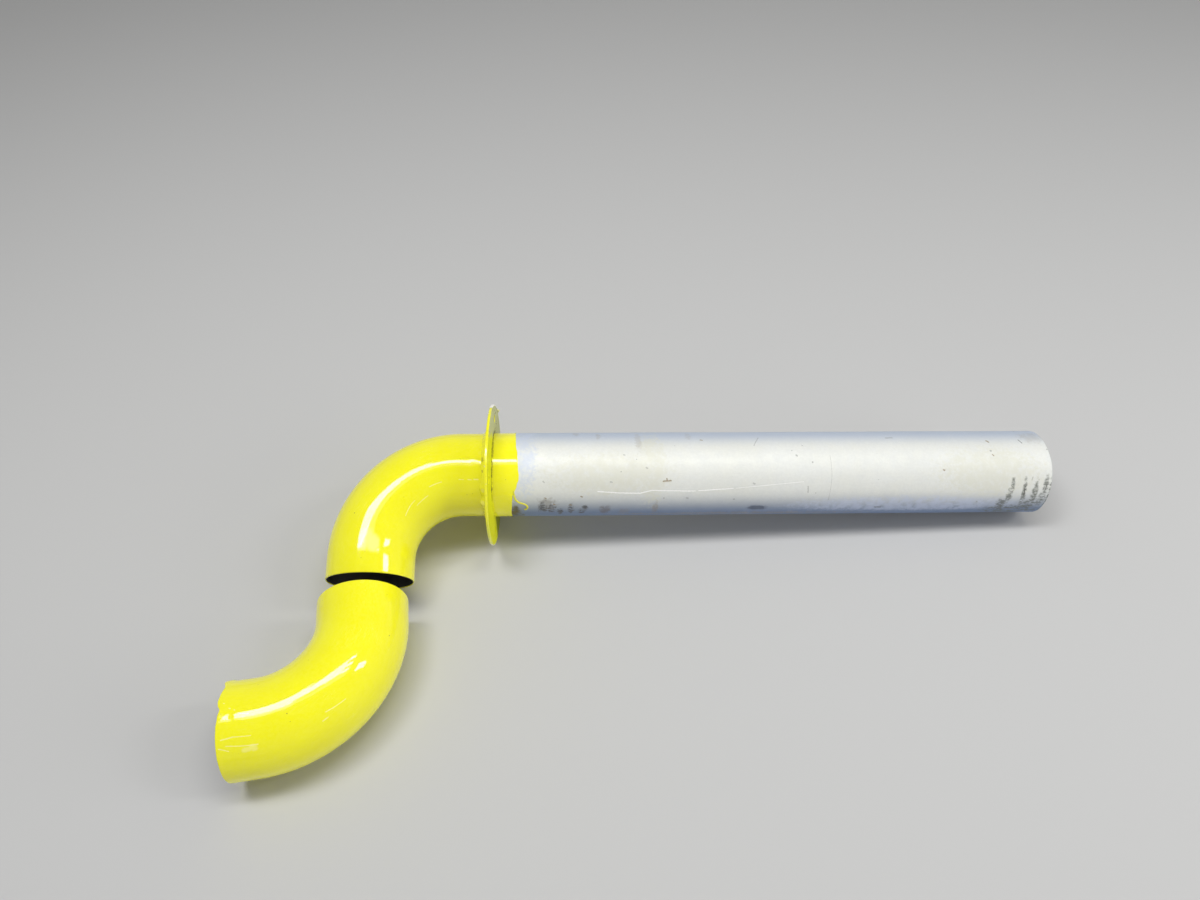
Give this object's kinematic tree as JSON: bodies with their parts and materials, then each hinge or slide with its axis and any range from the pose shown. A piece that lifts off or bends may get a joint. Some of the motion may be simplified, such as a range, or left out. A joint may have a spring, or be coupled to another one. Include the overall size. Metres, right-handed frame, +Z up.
{
  "type": "aircraft vent elbow",
  "caption": "Thin-walled vent duct: a long straight bare tube through a round screwed flange, a painted short-radius bend, and a matching loose bend beside it.",
  "frame": {"origin": "middle of the resting part's box, at the height of the surface it lies on", "axes": "+X along the straight tube's run towards its open end, seen from above; +Z up; the bends turn towards -Y"},
  "size_m": [0.469, 0.2182, 0.0859],
  "materials": {
    "bare_aluminium": "dull, pale, finely scuffed, with dirt near the open end",
    "yellow_paint": "thick glossy paint over aluminium"
  },
  "bodies": {
    "root": {"straight_tube": "bare_aluminium", "mounting_flange": "yellow_paint", "flange_weld": "yellow_paint", "upper_elbow": "yellow_paint", "lower_elbow": "yellow_paint"}
  },
  "joints": []
}
